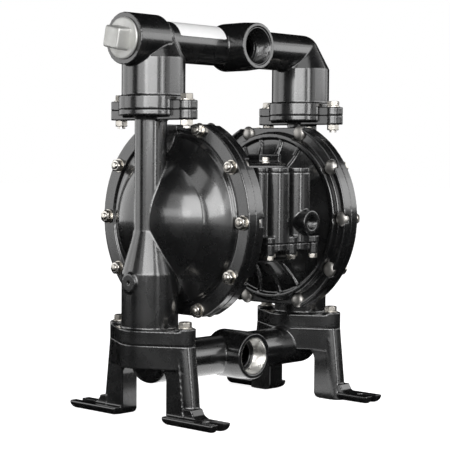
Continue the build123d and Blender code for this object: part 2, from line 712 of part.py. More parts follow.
def valve_housing():
    """Main air valve: block with two upright barrels and the air inlet boss."""
    x0 = housing_half_width
    body = block(-x0, x0, -housing_front, -housing_back, housing_bottom_z, housing_top_z)
    body = fillet(body.edges().filter_by(Axis.Z), air_inset)
    for x in (-barrel_x, barrel_x):
        body += rod_between((x, -barrel_y, housing_bottom_z), (x, -barrel_y, housing_top_z),
                            barrel_radius)
    body += bolt_arms(housing_bottom_z, housing_bottom_z + 9, cover_lobe_radius)
    body += rod_between((barrel_x, -barrel_y, air_port_z), (barrel_x, -air_port_reach, air_port_z),
                        air_port_radius)
    for x in (-barrel_x, barrel_x):
        body -= rod_between((x, -barrel_y, housing_bottom_z - 1), (x, -barrel_y, housing_top_z + 1),
                            valve_bore + valve_running_gap)
    body -= rod_between((barrel_x, -air_port_reach + air_port_depth, air_port_z),
                        (barrel_x, -air_port_reach - 1, air_port_z), air_port_bore)
    body -= rod_between((barrel_x, -barrel_y, air_port_z), (barrel_x, -air_port_reach + air_port_depth,
                                                            air_port_z), air_port_passage)
    body -= bolt_holes([Vector(x, -y, housing_bottom_z - 1) for x in cover_bolt_x for y in cover_bolt_y],
                       UP, 8, cover_bolt_radius)
    return body


def bolt_arms(z0, z1, radius):
    """Arms that carry the cover bolts, one for each front and back pair."""
    arms = []
    back, front = cover_bolt_y
    for x in cover_bolt_x:
        arms.append(block(x - radius, x + radius, -front, -back, z0, z1))
        arms += [rod_between((x, -y, z0), (x, -y, z1), radius) for y in cover_bolt_y]
    return arms


def housing_cover(z0, z1):
    """Plate over one end of the two valve barrels."""
    x0 = housing_half_width
    plate = block(-x0 + 2, x0 - 2, -housing_front + 2, -housing_back - 4, z0, z1)
    plate = fillet(plate.edges().filter_by(Axis.Z), air_inset)
    for x in (-barrel_x, barrel_x):
        plate += rod_between((x, -barrel_y, z0), (x, -barrel_y, z1), barrel_radius - 1)
    return plate


def bottom_cover():
    """Bottom plate of the air valve, with a boss for each bolt."""
    plate = housing_cover(bottom_cover_z, housing_bottom_z)
    plate += bolt_arms(bottom_cover_z, housing_bottom_z, cover_lobe_radius - 1)
    for x in cover_bolt_x:
        for y in cover_bolt_y:
            plate += rod_between((x, -y, bottom_cover_z - cover_bolt_stand), (x, -y, housing_bottom_z),
                                 cover_lobe_radius - 1)
    plate -= bolt_holes([Vector(x, -y, bottom_cover_z - cover_bolt_stand - 1)
                         for x in cover_bolt_x for y in cover_bolt_y],
                        UP, bottom_cover_thickness + cover_bolt_stand + 2, cover_bolt_radius + 0.3)
    return plate


def cover_bolts():
    """Six bolts from below through the bottom cover."""
    bolts = []
    seat_z = bottom_cover_z - cover_bolt_stand
    for x in cover_bolt_x:
        for y in cover_bolt_y:
            head = hex_bar((x, -y, seat_z - cover_bolt_head_height), (x, -y, seat_z), cover_bolt_flats)
            shank = rod_between((x, -y, seat_z), (x, -y, housing_bottom_z + 6), cover_bolt_radius)
            bolts.append(head + shank)
    return bolts


def valve_piston(x, lift):
    """Spool with three lands in an upright barrel, resting at its lower end."""
    z0 = housing_bottom_z + 2 + lift
    waist = rod_between((x, -barrel_y, z0), (x, -barrel_y, z0 + spool_length), spool_waist)
    lands = []
    for share in (0.0, 0.5, 1.0):
        z = z0 + share * (spool_length - spool_land)
        lands.append(rod_between((x, -barrel_y, z), (x, -barrel_y, z + spool_land), valve_bore))
    return waist + lands


def muffler():
    """Exhaust muffler: threaded neck and ribbed drum."""
    y0 = exhaust_boss_reach
    neck = rod_between((0, y0 - muffler_neck_length + 1, rod_height), (0, y0, rod_height),
                       muffler_neck_radius)
    drum = rod_between((0, y0, rod_height), (0, y0 + muffler_length, rod_height), muffler_radius - 2)
    body = neck + drum
    pitch = muffler_length / 4
    for count in range(4):
        y = y0 + count * pitch
        body += rod_between((0, y, rod_height), (0, y + pitch / 2, rod_height), muffler_radius)
    return body


# ---- outlet manifold ---------------------------------------------------------------------------------------------
def outlet_end():
    """Ball chamber, cone and rounded elbow of the right end, solid."""
    base_z = ball_chamber_top_z
    turn = math.radians(elbow_cone_angle)
    touch_radius = outlet_pipe_radius * math.cos(turn)
    touch_z = outlet_pipe_z + outlet_pipe_radius * math.sin(turn)
    body = upright(manifold_x, [(0, outlet_parting_z), (ball_chamber_radius, outlet_parting_z),
                                (ball_chamber_radius, base_z), (touch_radius, touch_z), (0, touch_z)])
    body += Pos(manifold_x, 0, outlet_pipe_z) * Sphere(outlet_pipe_radius)
    body += eared_plate(outlet_parting_z, outlet_parting_z + outlet_rim_height,
                        outlet_parting_z, outlet_ear_top_z)
    return body


def outlet_room():
    """The hollow of an outlet end: seat pocket, ball room and passage to the pipe."""
    room = rod_between((manifold_x, 0, outlet_parting_z - 1),
                       (manifold_x, 0, outlet_parting_z + seat_height + seat_clearance),
                       seat_radius + seat_clearance)
    room += ball_room(outlet_parting_z, ball_chamber_bore_top_z, ball_chamber_bore)
    room += rod_between((manifold_x, 0, ball_chamber_bore_top_z), (manifold_x, 0, outlet_pipe_z),
                        outlet_pipe_bore)
    room += Pos(manifold_x, 0, outlet_pipe_z) * Sphere(outlet_pipe_bore)
    return room


def tee(z, reach, pipe_radius):
    """Port boss that stands across the middle of a manifold pipe."""
    root = rod_between((0, tee_back, z), (0, -pipe_radius, z), tee_root_radius)
    back = fillet(root.edges().group_by(Axis.Y)[-1], 8)
    nose = rod_between((0, -pipe_radius, z), (0, -reach, z), tee_root_radius, tee_face_radius)
    return back + nose


def port_hole(z, reach, pipe_bore):
    """Threaded port and its passage into the pipe."""
    hole = rod_between((0, -reach + port_depth, z), (0, -reach - 1, z), port_bore)
    hole += rod_between((0, -reach + port_chamfer, z), (0, -reach - 0.01, z), port_bore,
                        port_bore + port_chamfer)
    hole += rod_between((0, 0, z), (0, -reach + port_depth, z), pipe_bore - port_step)
    return hole


def outlet_manifold():
    """Outlet manifold: pipe with a ball chamber at each end, middle port, left end plugged."""
    end = outlet_end()
    pipe = rod_between((-manifold_x, 0, outlet_pipe_z), (manifold_x, 0, outlet_pipe_z),
                       outlet_pipe_radius)
    boss_end = -(manifold_x + plug_boss_reach)
    plug_boss = rod_between((boss_end, 0, outlet_pipe_z), (-manifold_x, 0, outlet_pipe_z),
                            plug_boss_radius)
    taper = rod_between((-manifold_x, 0, outlet_pipe_z), (-manifold_x + plug_boss_taper, 0, outlet_pipe_z),
                        plug_boss_radius, outlet_pipe_radius)
    body = end + left_of(end) + pipe + plug_boss + taper + tee(outlet_pipe_z, outlet_port_reach,
                                                               outlet_pipe_radius)
    room = outlet_room()
    body -= room
    body -= left_of(room)
    body -= rod_between((boss_end - 1, 0, outlet_pipe_z), (manifold_x, 0, outlet_pipe_z),
                        outlet_pipe_bore)
    body -= rod_between((boss_end - 1, 0, outlet_pipe_z), (boss_end + port_depth, 0, outlet_pipe_z),
                        port_bore)
    body -= port_hole(outlet_pipe_z, outlet_port_reach, outlet_pipe_bore)
    ribs = guide_ribs(manifold_x, outlet_parting_z + seat_height + 3, ball_chamber_bore_top_z,
                      ball_chamber_bore)
    body += ribs
    body += left_of(ribs)
    holes = bolt_holes(ear_points(outlet_parting_z - 1), UP, outlet_ear_height + 2,
                       ear_bolt_radius + ear_bolt_clearance)
    body -= holes
    body -= [left_of(hole) for hole in holes]
    return body


def end_plug():
    """Square head pipe plug in the left end of the outlet manifold."""
    face_x = -(manifold_x + plug_boss_reach)
    thread = rod_between((face_x + plug_thread_length, 0, outlet_pipe_z), (face_x, 0, outlet_pipe_z),
                         port_bore)
    rim = rod_between((face_x, 0, outlet_pipe_z), (face_x - plug_rim_height, 0, outlet_pipe_z),
                      plug_rim_radius, plug_rim_radius - 1.5)
    square = Pos(face_x - plug_rim_height - plug_square_height / 2, 0, outlet_pipe_z) * Rot(
        plug_square_turn, 0, 0) * Box(plug_square_height, plug_square, plug_square)
    return thread + rim + square


# ---- inlet manifold --------------------------------------------------------------------------------------------------
def portal():
    """Leg wall of the right end, with an arch between the legs, and the two leg columns."""
    top, foot = portal_top_half_width, portal_foot_half_width
    outline = Polyline((-top, inlet_parting_z), (-foot, 0), (foot, 0), (top, inlet_parting_z), close=True)
    wall = extrude(Plane(origin=(portal_inner_x, 0, 0), x_dir=(0, 1, 0), z_dir=(1, 0, 0))
                   * make_face(outline), portal_outer_x - portal_inner_x)
    opening = block(portal_inner_x - 1, portal_outer_x + 1, -arch_half_width, arch_half_width,
                    -1, arch_top_z)
    opening = fillet(opening.edges().filter_by(Axis.X).group_by(Axis.Z)[-1], arch_radius)
    wall -= opening
    wall = fillet(wall.edges().filter_by(Axis.X).filter_by(
        lambda edge: abs(edge.center().Z) < 1 and abs(edge.center().Y) < arch_half_width + 1),
        leg_corner_radius)
    for y in (-ear_bolt_y, ear_bolt_y):
        lean = math.copysign(leg_column_lean / inlet_parting_z, y)
        column = rod_between((manifold_x, y - 5 * lean, inlet_parting_z + 5),
                             (manifold_x, y + lean * (inlet_parting_z + 5), -5),
                             leg_column_radius + 1, leg_column_radius)
        wall += column & block(0, 2 * manifold_x, -cap_radius, cap_radius, 0, inlet_parting_z)
    return wall


def foot(y_sign):
    """Slotted foot pad of the right end, with a sloping root under the leg."""
    y0, y1 = sorted((y_sign * pad_start, y_sign * pad_reach))
    pad = block(pad_inner_x, pad_outer_x, y0, y1, 0, pad_thickness)
    pad = fillet(pad.edges().filter_by(Axis.Z), 2.0)
    inner = pad.edges().filter_by(Axis.X).filter_by(
        lambda edge: edge.center().Z < 1 and abs(edge.center().Y) < pad_start + 1)
    pad = fillet(inner, pad_thickness - 2)
    root = portal_foot_half_width + leg_column_radius
    outline = Polyline((y_sign * (root - 12), pad_thickness - 1), (y_sign * (root + pad_fillet), pad_thickness - 1),
                       (y_sign * (root + pad_fillet), pad_thickness),
                       (y_sign * (root + pad_fillet / 3), pad_thickness + pad_fillet / 3),
                       (y_sign * (root - 1), pad_thickness + pad_fillet),
                       (y_sign * (root - 12), pad_thickness + pad_fillet), close=True)
    gusset = extrude(Plane(origin=(pad_inner_x + 1, 0, 0), x_dir=(0, 1, 0), z_dir=(1, 0, 0))
                     * make_face(outline), portal_outer_x - pad_inner_x - 2)
    slot_end = y_sign * (pad_reach - slot_length)
    y0, y1 = sorted((slot_end, y_sign * (pad_reach + 1)))
    slot = block(slot_inner_x, slot_outer_x, y0, y1, -1, pad_thickness + 1)
    slot += rod_between(((slot_inner_x + slot_outer_x) / 2, slot_end, -1),
                        ((slot_inner_x + slot_outer_x) / 2, slot_end, pad_thickness + 1),
                        (slot_outer_x - slot_inner_x) / 2)
    return pad + gusset - slot


def inlet_end():
    """Legs, feet, flange and elbow of the right end, solid."""
    body = portal() + foot(-1) + foot(1)
    body += kite_plate(inlet_cup_bottom_z, inlet_parting_z, inlet_cup_radius)
    body += Pos(manifold_x, 0, inlet_pipe_z) * Sphere(inlet_pipe_radius)
    return body


def inlet_manifold():
    """Inlet manifold: pipe with a middle port and a pair of slotted feet at each end."""
    end = inlet_end()
    pipe = rod_between((-manifold_x, 0, inlet_pipe_z), (manifold_x, 0, inlet_pipe_z), inlet_pipe_radius)
    body = end + left_of(end) + pipe + tee(inlet_pipe_z, inlet_port_reach, inlet_pipe_radius)
    room = rod_between((manifold_x, 0, inlet_parting_z - seat_height - seat_clearance),
                       (manifold_x, 0, inlet_parting_z + 1), seat_radius + seat_clearance)
    room += rod_between((manifold_x, 0, inlet_pipe_z), (manifold_x, 0, inlet_parting_z), inlet_pipe_bore)
    room += Pos(manifold_x, 0, inlet_pipe_z) * Sphere(inlet_pipe_bore)
    body -= room
    body -= left_of(room)
    body -= rod_between((-manifold_x, 0, inlet_pipe_z), (manifold_x, 0, inlet_pipe_z), inlet_pipe_bore)
    body -= port_hole(inlet_pipe_z, inlet_port_reach, inlet_pipe_bore)
    holes = bolt_holes(ear_points(inlet_parting_z - ear_thread_depth), UP, ear_thread_depth + 1,
                       ear_bolt_radius)
    body -= holes
    body -= [left_of(hole) for hole in holes]
    return body


# ---- ball checks -----------------------------------------------------------------------------------------------------
def seat_place(parting_z, above):
    """Bottom of a seat that stands above or hangs below a parting."""
    return parting_z if above else parting_z - seat_height


def ball_center_z(seat_z):
    """Height of a resting ball: it touches the 45 degree cone of its seat."""
    touch = ball_radius * math.sin(math.radians(45))
    cone_foot = seat_z + seat_height - seat_cone_height
    return cone_foot + (touch - seat_bore) + touch + ball_seat_gap


def valve_seat(seat_z):
    """Seat ring with a 45 degree cone."""
    top = seat_z + seat_height
    ring = upright(manifold_x, [(seat_bore, seat_z), (seat_radius, seat_z), (seat_radius, top),
                                (seat_bore + seat_cone_height, top), (seat_bore, top - seat_cone_height)])
    return ring


def seat_ring_groove(seat_z, at_top):
    """O-ring groove in the seat face that meets the fluid cap."""
    groove_radius = seat_radius - 5
    z = seat_z + seat_height if at_top else seat_z
    depth = ring_section + ring_groove_gap
    z0, z1 = (z - depth, z + 1) if at_top else (z - 1, z + depth)
    outer = rod_between((manifold_x, 0, z0), (manifold_x, 0, z1), groove_radius + ring_section / 2 + 0.3)
    return outer - rod_between((manifold_x, 0, z0 - 1), (manifold_x, 0, z1 + 1),
                               groove_radius - ring_section / 2 - 0.3)


def seat_ring(seat_z, at_top):
    """O-ring in that groove."""
    z = seat_z + seat_height - ring_section / 2 if at_top else seat_z + ring_section / 2
    return Pos(manifold_x, 0, z) * Torus(seat_radius - 5, ring_section / 2)


outlet_seat_z = seat_place(outlet_parting_z, above=True)
inlet_seat_z = seat_place(inlet_parting_z, above=False)
outlet_ball_z = ball_center_z(outlet_seat_z)
inlet_ball_z = ball_center_z(inlet_seat_z)


# ---- fasteners ---------------------------------------------------------------------------------------------------------
def carriage_bolts():
    """Ten domed bolts of the right end, heads on the air cap side."""
    bolts = []
    head_sphere = (cap_bolt_head_radius ** 2 + cap_bolt_head_height ** 2) / (2 * cap_bolt_head_height)
    for point in cap_bolt_points(air_groove_x):
        ball_middle = point - OUT * (cap_bolt_head_height - head_sphere)
        head = (Pos(ball_middle) * Sphere(head_sphere)) & rod_between(
            point - OUT * (cap_bolt_head_height + 1), point, cap_bolt_head_radius + 1)
        shank_end = point + OUT * (cap_nut_end_x + cap_bolt_stickout - air_groove_x)
        bolts.append(head + rod_between(point, shank_end, cap_bolt_radius))
    return bolts


def cap_nuts():
    """Ten nuts of the right end, on the fluid cap flange."""
    return [hex_bar(p, p + OUT * cap_nut_height, cap_nut_flats)
            - rod_between(p - OUT, p + OUT * (cap_nut_height + 1), cap_bolt_radius)
            for p in cap_bolt_points(fluid_face_x)]


def outlet_flange_bolts():
    """Hexagon bolts through the outlet ears, heads up."""
    bolts = []
    for top in ear_points(outlet_ear_top_z):
        bottom = Vector(top.X, top.Y, cap_top_ear_z - ear_nut_height - cap_bolt_stickout)
        head = hex_bar(top, top + UP * ear_bolt_head_height, ear_bolt_flats)
        bolts.append(head + rod_between(bottom, top, ear_bolt_radius))
    return bolts


def outlet_flange_nuts():
    """Nuts under the outlet ears."""
    return [hex_bar(p - UP * ear_nut_height, p, ear_bolt_flats)
            - rod_between(p - UP * (ear_nut_height + 1), p + UP, ear_bolt_radius)
            for p in ear_points(cap_top_ear_z)]


def inlet_flange_bolts():
    """Hexagon bolts through the inlet ears of the fluid caps into the leg columns."""
    bolts = []
    for top in ear_points(cap_bottom_ear_z):
        bottom = Vector(top.X, top.Y, inlet_parting_z - ear_thread_depth + 1)
        head = hex_bar(top, top + UP * ear_bolt_head_height, ear_bolt_flats)
        bolts.append(head + rod_between(bottom, top, ear_bolt_radius))
    return bolts


def both_ends(pieces):
    """The same pieces at the right end and mirrored at the left end."""
    return pieces + [left_of(piece) for piece in pieces]


# ---- write every node ------------------------------------------------------------------------------------------------------
os.makedirs("parts", exist_ok=True)

save("outlet_manifold", outlet_manifold())
save("inlet_manifold", inlet_manifold())
save("end_plug", end_plug())
save("center_body", center_body())
save("front_gasket", front_gasket())
save("valve_housing", valve_housing())
save("valve_top_cover", housing_cover(housing_top_z, housing_top_z + top_cover_thickness))
save("valve_bottom_cover", bottom_cover())
save("cover_bolts", cover_bolts())
save("valve_spool", valve_piston(barrel_x, 0.0))
save("pilot_spool", valve_piston(-barrel_x, 0.0))
save("pilot_rod", rod_between((-pilot_half_length, pilot_y, rod_height),
                              (pilot_half_length, pilot_y, rod_height), pilot_radius))
save("exhaust_muffler", muffler())
save("diaphragm_rod", diaphragm_rod())
save("outlet_flange_bolts", both_ends(outlet_flange_bolts()))
save("outlet_flange_nuts", both_ends(outlet_flange_nuts()))
save("inlet_flange_bolts", both_ends(inlet_flange_bolts()))
save("seat_rings", both_ends([seat_ring(outlet_seat_z, False), seat_ring(inlet_seat_z, True)]))

right_end = {
    "fluid_cap": fluid_cap(),
    "air_cap": air_cap(),
    "diaphragm": diaphragm(),
    "inner_washer": inner_washer(),
    "outer_washer": outer_washer(),
    "rod_bushing": rod_bushing(),
    "rod_seal": rod_seal(),
    "hub_gasket": hub_gasket(),
    "hub_bolts": hub_bolts(),
    "cap_bolts": carriage_bolts(),
    "cap_nuts": cap_nuts(),
    "outlet_seat": valve_seat(outlet_seat_z) - seat_ring_groove(outlet_seat_z, False),
    "inlet_seat": valve_seat(inlet_seat_z) - seat_ring_groove(inlet_seat_z, True),
    "outlet_ball": Pos(manifold_x, 0, outlet_ball_z) * Sphere(ball_radius),
    "inlet_ball": Pos(manifold_x, 0, inlet_ball_z) * Sphere(ball_radius),
}
for name, piece in right_end.items():
    pieces = piece if isinstance(piece, list) else [piece]
    save(name + "_right", pieces)
    save(name + "_left", [left_of(p) for p in pieces])
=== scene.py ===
import json
import math

import bmesh
import bpy
import numpy as np
from mathutils import Matrix, Vector


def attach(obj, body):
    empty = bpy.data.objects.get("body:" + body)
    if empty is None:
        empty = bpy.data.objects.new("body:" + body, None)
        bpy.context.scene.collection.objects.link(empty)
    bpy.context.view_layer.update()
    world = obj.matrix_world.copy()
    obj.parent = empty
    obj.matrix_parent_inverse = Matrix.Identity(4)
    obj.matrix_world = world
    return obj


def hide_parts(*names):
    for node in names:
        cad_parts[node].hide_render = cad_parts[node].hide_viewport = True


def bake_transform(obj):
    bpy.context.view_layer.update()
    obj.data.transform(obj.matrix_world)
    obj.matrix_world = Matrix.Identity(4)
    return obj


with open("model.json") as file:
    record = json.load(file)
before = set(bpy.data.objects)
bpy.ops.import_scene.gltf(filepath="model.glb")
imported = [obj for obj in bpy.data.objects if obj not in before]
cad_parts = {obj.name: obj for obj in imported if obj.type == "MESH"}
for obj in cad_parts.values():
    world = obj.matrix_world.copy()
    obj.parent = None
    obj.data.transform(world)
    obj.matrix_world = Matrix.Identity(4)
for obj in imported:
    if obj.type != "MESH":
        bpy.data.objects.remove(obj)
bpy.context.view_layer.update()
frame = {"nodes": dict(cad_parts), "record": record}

# Air operated double diaphragm pump in gloss black paint. Lengths below are in millimetres and
# become metres where a mesh is made. X runs along the diaphragm rod, Z is up, the ports face -Y.
ROD_Z = 246.0
PORT_R = 23.2
FLUID_FACE = 103.8
BOLT_CIRCLE = 120.0
BOLT_ANGLES = (0.0, 33.6, 67.6, 112.4, 146.4, 180.0, 213.6, 247.6, 292.4, 326.4)
HEAD_SEAT = 85.4
MANIFOLD_X = 139.0
EAR_Y = 58.0
OUTLET_Z, INLET_Z = 466.5, 68.5
OUTLET_SEAT_Z, OUTLET_NUT_Z, OUTLET_SHANK_Z = 392.8, 369.5, 359.0
LEG_SEAT_Z, LEG_SHANK_Z = 116.8, 88.0
NUT_FLATS, NUT_HEIGHT = 14.3, 6.6
COVER_BOLT_X, COVER_BOLT_Y = (-42.0, 0.0, 42.0), (-73.0, -106.0)
MUFFLER_Y, RIB_PITCH = 56.0, 13.0
PORT_THREAD = (1.3, 22.4, 2.2)   # depth, length and pitch
CASING = "pump_casing"


# ---- mesh builders -------------------------------------------------------------------------------
def axes_for(direction, turn=0.0):
    """Three unit vectors as rows: two across the direction, turned about it, and the direction."""
    w = np.array(direction, float) / np.linalg.norm(direction)
    side = np.array((0.0, 0.0, 1.0)) if abs(w[2]) < 0.9 else np.array((1.0, 0.0, 0.0))
    u = np.cross(side, w)
    u /= np.linalg.norm(u)
    v = np.cross(w, u)
    c, s = math.cos(math.radians(turn)), math.sin(math.radians(turn))
    return np.array((c * u + s * v, -s * u + c * v, w))


def grid_mesh(points, wrap=True):
    """Quads over a grid of points (rows, columns, 3). Columns close on themselves when wrap is set."""
    rows, cols = points.shape[:2]
    r = np.arange(rows - 1)[:, None]
    c = np.arange(cols if wrap else cols - 1)[None, :]
    n = (c + 1) % cols
    faces = np.stack(np.broadcast_arrays(r * cols + c, r * cols + n, (r + 1) * cols + n,
                                         (r + 1) * cols + c), axis=-1).reshape(-1, 4)
    return points.reshape(-1, 3), faces


def soften(corners, radius, steps=4):
    """Outline (n, 2) with each inner corner rounded: a quadratic curve from a point `radius` before
    the corner to a point `radius` after it, at most 0.45 of the way to the next corner."""
    p = np.array(corners, float)
    before, at, after = p[:-2], p[1:-1], p[2:]
    la = np.linalg.norm(before - at, axis=1, keepdims=True)
    lb = np.linalg.norm(after - at, axis=1, keepdims=True)
    a = at + (before - at) / la * np.minimum(radius, 0.45 * la)
    b = at + (after - at) / lb * np.minimum(radius, 0.45 * lb)
    t = np.linspace(0, 1, steps)[None, :, None]
    arcs = (1 - t) ** 2 * a[:, None] + 2 * t * (1 - t) * at[:, None] + t ** 2 * b[:, None]
    return np.vstack((p[:1], arcs.reshape(-1, 2), p[-1:]))


def turned(profile, place, direction, steps=64, outline=None, turn=0.0):
    """Surface turned about an axis: point (radius, height) of the profile goes to
    place + height * axis + radius * outline(angle) across it. An end at radius 0 closes the shape."""
    frame3 = axes_for(direction, turn)
    angle = np.arange(steps) * 2 * math.pi / steps
    scale = np.ones_like(angle) if outline is None else outline(angle)
    ring = np.cos(angle)[:, None] * frame3[0] + np.sin(angle)[:, None] * frame3[1]
    prof = np.array(profile, float)
    pts = (np.array(place, float) + prof[:, None, 1:2] * frame3[2]
           + prof[:, None, 0:1] * scale[None, :, None] * ring[None])
    return grid_mesh(pts)


def hexagon(angle):
    """Radius of a hexagon of unit half flats: 1 / cos(angle from the middle of the nearest flat)."""
    third = math.pi / 3
    return 1 / np.cos((angle + third / 2) % third - third / 2)


def rounded_square(angle, power=10.0):
    """Radius of a superellipse of unit half width: (|cos|^n + |sin|^n)^(-1/n)."""
    return (np.abs(np.cos(angle)) ** power + np.abs(np.sin(angle)) ** power) ** (-1 / power)


def hex_prism(place, direction, flats, height, bore=0.0, turn=0.0, steps=72):
    """Hexagon with chamfered corners: radius is the lesser of the hexagon and a 30 degree cone
    that meets the end face at 0.95 of the half flats. A bore goes right through."""
    frame3 = axes_for(direction, turn)
    angle = np.arange(steps) * 2 * math.pi / steps
    half = flats / 2
    corner = half * hexagon(angle)
    depth = np.linspace(0, 0.22 * half, 7)
    rise = np.concatenate((np.zeros(1), depth, height - depth[::-1], np.full(1, height)))
    cone = 0.95 * half + np.minimum(rise, height - rise) / math.tan(math.radians(30))
    radius = np.minimum(corner[None, :], cone[:, None])
    inner = np.full((1, steps), max(bore, 0.0))
    radius = np.vstack((inner, radius, inner))
    rise = np.concatenate((rise[:1], rise, rise[-1:]))
    if bore:
        radius, rise = np.vstack((radius, inner)), np.append(rise, 0.0)
    ring = np.cos(angle)[:, None] * frame3[0] + np.sin(angle)[:, None] * frame3[1]
    pts = np.array(place, float) + rise[:, None, None] * frame3[2] + radius[:, :, None] * ring[None]
    return grid_mesh(pts)


def threaded_tube(place, direction, radius, depth, length, pitch, back, steps=96):
    """Sleeve with a thread inside: radius - depth * (0.5 + 0.5 cos 2 pi (height / pitch - turn)),
    closed by a plain outer wall at `back`."""
    rows = int(length / pitch * 8)
    angle = np.arange(steps) * 2 * math.pi / steps
    h = np.linspace(0, length, rows)[:, None]
    wave = 0.5 + 0.5 * np.cos(2 * math.pi * (h / pitch - angle[None] / (2 * math.pi)))
    fade = np.clip(np.minimum(h, length - h) / pitch, 0, 1)
    r = radius - depth * wave * fade
    rise = np.broadcast_to(h, r.shape)
    r = np.vstack((np.full((1, steps), back), r, np.full((2, steps), back)))
    rise = np.vstack((np.zeros((1, steps)), rise, np.full((1, steps), length), np.zeros((1, steps))))
    frame3 = axes_for(direction)
    ring = np.cos(angle)[:, None] * frame3[0] + np.sin(angle)[:, None] * frame3[1]
    pts = np.array(place, float) + rise[:, :, None] * frame3[2] + r[:, :, None] * ring[None]
    v, f = grid_mesh(pts)
    return v, f[:, ::-1]


def threaded_rod(place, direction, radius, depth, length, pitch, steps=40):
    """Stud end: radius - depth * (0.5 + 0.5 cos 2 pi (height / pitch - turn)), with a domed tip."""
    rows = max(int(length / pitch * 6), 4)
    angle = np.arange(steps) * 2 * math.pi / steps
    h = np.linspace(0, length, rows)[:, None]
    wave = 0.5 + 0.5 * np.cos(2 * math.pi * (h / pitch - angle[None] / (2 * math.pi)))
    body = radius - depth * wave
    tip = np.array([(1 - depth / radius - 0.02, 0.15), (0.82, 0.45), (0.55, 0.62), (0.0, 0.7)])
    r = np.vstack((np.zeros((1, steps)), body, tip[:, :1] * radius * np.ones((1, steps))))
    rise = np.vstack((np.zeros((1, 1)), h, length + tip[:, 1:])) * np.ones((1, steps))
    frame3 = axes_for(direction)
    ring = np.cos(angle)[:, None] * frame3[0] + np.sin(angle)[:, None] * frame3[1]
    pts = np.array(place, float) + rise[:, :, None] * frame3[2] + r[:, :, None] * ring[None]
    return grid_mesh(pts)


def join(*meshes):
    """Several (points, faces) as one."""
    points, faces, count = [], [], 0
    for v, f in meshes:
        points.append(v)
        faces.append(f + count)
        count += len(v)
    return np.vstack(points), np.vstack(faces)


def make_piece(name, mesh, material, body=CASING, stands_for=(), smooth=40.0):
    """Object of that name from (points in mm, faces), its doubles merged and its faces outward."""
    points, faces = mesh
    data = bpy.data.meshes.new(name)
    data.from_pydata((points * 0.001).tolist(), [], faces.tolist())
    obj = bpy.data.objects.new(name, data)
    bpy.context.scene.collection.objects.link(obj)
    tidy_mesh(data)
    finish_piece(obj, material, body, stands_for, smooth)
    return obj


def tidy_mesh(data):
    """Merges doubles, drops faces with no area, and turns each shell's faces outward."""
    bm = bmesh.new()
    bm.from_mesh(data)
    bmesh.ops.remove_doubles(bm, verts=bm.verts, dist=2e-6)
    bmesh.ops.dissolve_degenerate(bm, edges=bm.edges, dist=1e-7)
    bmesh.ops.recalc_face_normals(bm, faces=bm.faces)
    bm.to_mesh(data)
    bm.free()


def finish_piece(obj, material, body, stands_for, smooth):
    """Smooth shading up to an angle, material, body and CAD nodes of a piece. A piece that blends
    between two bodies has no body of its own here."""
    obj.data.materials.clear()
    obj.data.materials.append(material)
    obj.data.shade_smooth()
    obj.data.set_sharp_from_angle(angle=math.radians(smooth))
    if body:
        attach(obj, body)
    if stands_for:
        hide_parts(*stands_for)


def casting(node, material, cell=1.1, passes=4, keep=1.0, body=CASING):
    """Casting with soft edges: the CAD node's faces rebuilt on a grid of cells of that size, then
    relaxed. In a pass every point goes 0.5 of the way to the mean of its neighbours, and then back
    by 0.52 of the way, which rounds edges by about a cell and leaves the large form alone."""
    source = frame["nodes"][node]
    data = source.data.copy()
    tidy_mesh(data)
    obj = bpy.data.objects.new(node + "_cast", data)
    bpy.context.scene.collection.objects.link(obj)
    mod = obj.modifiers.new("cells", "REMESH")
    mod.mode, mod.voxel_size, mod.adaptivity = "VOXEL", cell * 0.001, 0.0
    bpy.context.view_layer.update()
    graph = bpy.context.evaluated_depsgraph_get()
    data = bpy.data.meshes.new_from_object(obj.evaluated_get(graph))
    obj.modifiers.clear()
    obj.data = data
    count = len(data.vertices)
    co = np.empty(count * 3)
    data.vertices.foreach_get("co", co)
    co = co.reshape(-1, 3)
    ends = np.empty(len(data.edges) * 2, np.int64)
    data.edges.foreach_get("vertices", ends)
    a, b = ends.reshape(-1, 2).T
    near = np.maximum(np.bincount(a, minlength=count) + np.bincount(b, minlength=count), 1)
    for share in (0.5, -0.52) * passes:
        pull = np.stack([np.bincount(a, co[b, k], count) + np.bincount(b, co[a, k], count)
                         for k in range(3)], axis=1) / near[:, None] - co
        co = co + share * pull
    data.vertices.foreach_set("co", co.ravel())
    data.update()
    if keep < 1:
        mod = obj.modifiers.new("thin", "DECIMATE")
        mod.ratio = keep
        bpy.context.view_layer.update()
        graph = bpy.context.evaluated_depsgraph_get()
        data = bpy.data.meshes.new_from_object(obj.evaluated_get(graph))
        obj.modifiers.clear()
        obj.data = data
    finish_piece(obj, material, body, (node,), 180.0)
    return obj


# ---- materials -----------------------------------------------------------------------------------
def new_group(name, inputs, outputs):
    """Empty node group with named float inputs (name, value) and outputs (name, kind)."""
    tree = bpy.data.node_groups.new(name, "ShaderNodeTree")
    for label, value in inputs:
        socket = tree.interface.new_socket(label, in_out="INPUT", socket_type="NodeSocketFloat")
        socket.default_value = value
    for label, kind in outputs:
        tree.interface.new_socket(label, in_out="OUTPUT", socket_type="NodeSocket" + kind)
    return tree, tree.nodes.new("NodeGroupInput"), tree.nodes.new("NodeGroupOutput")


def math_node(tree, operation, a, b=None):
    """Math node on sockets or numbers."""
    node = tree.nodes.new("ShaderNodeMath")
    node.operation = operation
    for k, value in enumerate((a, b)):
        if isinstance(value, (int, float)):
            node.inputs[k].default_value = value
        elif value is not None:
            tree.links.new(value, node.inputs[k])
    return node.outputs[0]


